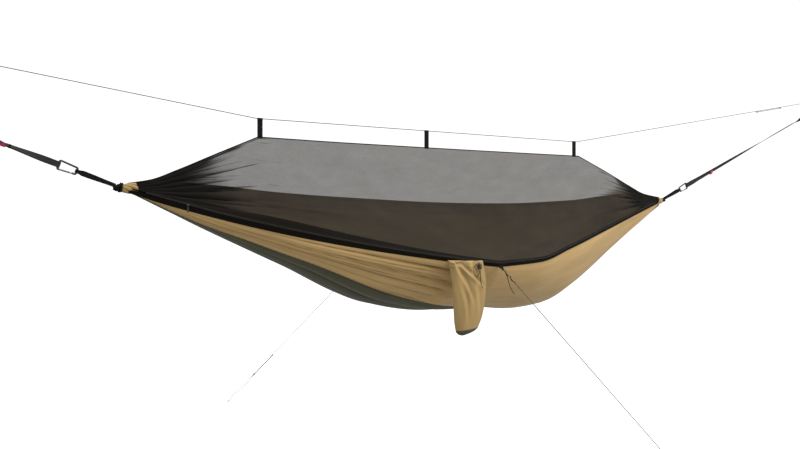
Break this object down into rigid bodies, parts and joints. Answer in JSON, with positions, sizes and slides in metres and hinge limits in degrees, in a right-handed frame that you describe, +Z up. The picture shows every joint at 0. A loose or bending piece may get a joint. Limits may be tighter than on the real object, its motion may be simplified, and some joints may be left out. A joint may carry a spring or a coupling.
{
  "type": "camping hammock",
  "caption": "Gathered-end camping hammock with a zip-in bug net, hung by carabiners from two tree straps under a ridge cord with side guylines.",
  "frame": {"origin": "outermost tip of the head tree strap's eye, where the head tree holds the part", "axes": "+X from the head strap along the hammock to the foot strap, -Y towards the zipped near side, +Z up"},
  "size_m": [4.4472, 4.3363, 2.0825],
  "materials": {
    "tan_nylon": "satin",
    "olive_nylon": "satin",
    "black_net": "matte",
    "black_webbing": "matte",
    "grey_webbing": "matte",
    "grey_alloy": "satin",
    "red_bartack": "matte",
    "guy_cord": "matte",
    "black_plastic": "satin",
    "rivet_steel": "satin"
  },
  "bodies": {
    "suspension": {"head_strap_eye": "grey_webbing", "head_tree_strap": "grey_webbing", "head_bartack_tab": "red_bartack", "head_strap_loop": "grey_webbing", "head_carabiner_frame": "grey_alloy", "head_gate_rivet": "rivet_steel", "foot_strap_eye": "grey_webbing", "foot_tree_strap": "grey_webbing", "foot_bartack_tab": "red_bartack", "foot_strap_loop": "grey_webbing", "foot_carabiner_frame": "grey_alloy", "foot_gate_rivet": "rivet_steel", "ridge_cord": "guy_cord", "ridge_head_knot": "guy_cord", "ridge_head_loop": "guy_cord", "ridge_foot_knot": "guy_cord", "ridge_foot_loop": "guy_cord", "near_guyline": "guy_cord", "near_guyline_knot": "guy_cord", "near_guyline_loop": "guy_cord", "far_guyline": "guy_cord", "far_guyline_doubled": "guy_cord", "far_guyline_knot": "guy_cord", "far_guyline_loop": "guy_cord"},
    "hammock": {"near_side_panel": "tan_nylon", "centre_panel": "olive_nylon", "far_side_panel": "tan_nylon", "near_hem_binding": "black_webbing", "far_hem_binding": "black_webbing", "zip_coil": "black_webbing", "near_net_panel": "black_net", "far_net_panel": "black_net", "net_ridge_seam": "black_webbing", "head_end_sleeve": "tan_nylon", "foot_end_sleeve": "tan_nylon", "head_hitch": "black_webbing", "foot_hitch": "black_webbing", "head_end_loop": "black_webbing", "foot_end_loop": "black_webbing", "near_guy_tab": "black_webbing", "far_guy_tab": "black_webbing", "near_guyline_hitch": "guy_cord", "far_guyline_hitch": "guy_cord", "near_guyline_tail": "guy_cord", "sack_hang_tab": "black_webbing"},
    "head_gate": {"head_carabiner_gate": "grey_alloy"},
    "foot_gate": {"foot_carabiner_gate": "grey_alloy"},
    "head_net_tab": {"net_tab_head": "black_webbing"},
    "middle_net_tab": {"net_tab_middle": "black_webbing"},
    "foot_net_tab": {"net_tab_foot": "black_webbing"},
    "ridge_adjuster": {"ridge_adjuster": "guy_cord"},
    "far_slide_knot": {"far_guyline_slide_knot": "guy_cord"},
    "zip_slider": {"zip_slider": "black_plastic"},
    "zip_pull": {"zip_pull": "black_plastic"},
    "storage_sack": {"storage_sack": "tan_nylon", "sack_base": "olive_nylon", "sack_drawcord_channel": "tan_nylon", "sack_drawcord": "guy_cord"},
    "cord_lock": {"cord_lock_barrel": "black_plastic"},
    "cord_lock_button": {"cord_lock_button": "black_plastic"}
  },
  "joints": [
    {"name": "body_swing", "type": "hinge", "parent": "suspension", "child": "hammock", "pos_m": [1.80024, 0, -0.10796], "axis": [1, 0, 0.0025], "range_deg": [-5, 5], "deforming": ["near_guyline", "far_guyline"]},
    {"name": "head_tab_swing", "type": "hinge", "parent": "suspension", "child": "head_net_tab", "pos_m": [0.951, 0, 0.107], "axis": [1, 0, 0], "range_deg": [-11, 11]},
    {"name": "middle_tab_swing", "type": "hinge", "parent": "suspension", "child": "middle_net_tab", "pos_m": [1.696, 0, 0.107], "axis": [1, 0, 0], "range_deg": [-11, 11]},
    {"name": "foot_tab_swing", "type": "hinge", "parent": "suspension", "child": "foot_net_tab", "pos_m": [2.539, 0, 0.107], "axis": [1, 0, 0], "range_deg": [-11, 11]},
    {"name": "head_gate_open", "type": "hinge", "parent": "suspension", "child": "head_gate", "pos_m": [0.28735, 0, -0.11729], "axis": [0, 1, 0], "range_deg": [0, 20], "stiffness_Nm_per_rad": 0.05, "springref_deg": -17.19},
    {"name": "foot_gate_open", "type": "hinge", "parent": "suspension", "child": "foot_gate", "pos_m": [3.31336, 0, -0.10893], "axis": [0, -1, 0], "range_deg": [0, 20], "stiffness_Nm_per_rad": 0.05, "springref_deg": -17.19},
    {"name": "adjuster_slide", "type": "slide", "parent": "suspension", "child": "ridge_adjuster", "axis": [0.9844, 0, 0.1762], "range_m": [-0.4, 0.05]},
    {"name": "far_knot_slide", "type": "slide", "parent": "suspension", "child": "far_slide_knot", "axis": [0.0186, -0.8704, 0.4921], "range_m": [0, 0.5]},
    {"name": "zip_run", "type": "hinge", "parent": "hammock", "child": "zip_slider", "pos_m": [2.52855, 2.74545, 1.52601], "axis": [0, -0.524, 0.8517], "range_deg": [0, 12.5]},
    {"name": "zip_pull_swing", "type": "hinge", "parent": "zip_slider", "child": "zip_pull", "pos_m": [0.6454, -0.11376, -0.22371], "axis": [0.8718, -0.4172, -0.2566], "range_deg": [-120, 0]},
    {"name": "sack_swing", "type": "hinge", "parent": "hammock", "child": "storage_sack", "pos_m": [1.562, -0.4456, -0.422], "axis": [1, 0, 0], "range_deg": [-75, 0]},
    {"name": "cord_lock_slide", "type": "slide", "parent": "storage_sack", "child": "cord_lock", "axis": [0, -0.1048, -0.9945], "range_m": [0, 0.05]},
    {"name": "cord_lock_press", "type": "slide", "parent": "cord_lock", "child": "cord_lock_button", "axis": [0, -0.1048, -0.9945], "range_m": [0, 0.004], "stiffness_N_per_m": 150, "springref_m": -0.004}
  ],
  "couplings": [
    {"joint": "head_tab_swing", "follows": "body_swing", "ratio": -2.101},
    {"joint": "middle_tab_swing", "follows": "body_swing", "ratio": -2.0745},
    {"joint": "foot_tab_swing", "follows": "body_swing", "ratio": -2.0445}
  ]
}
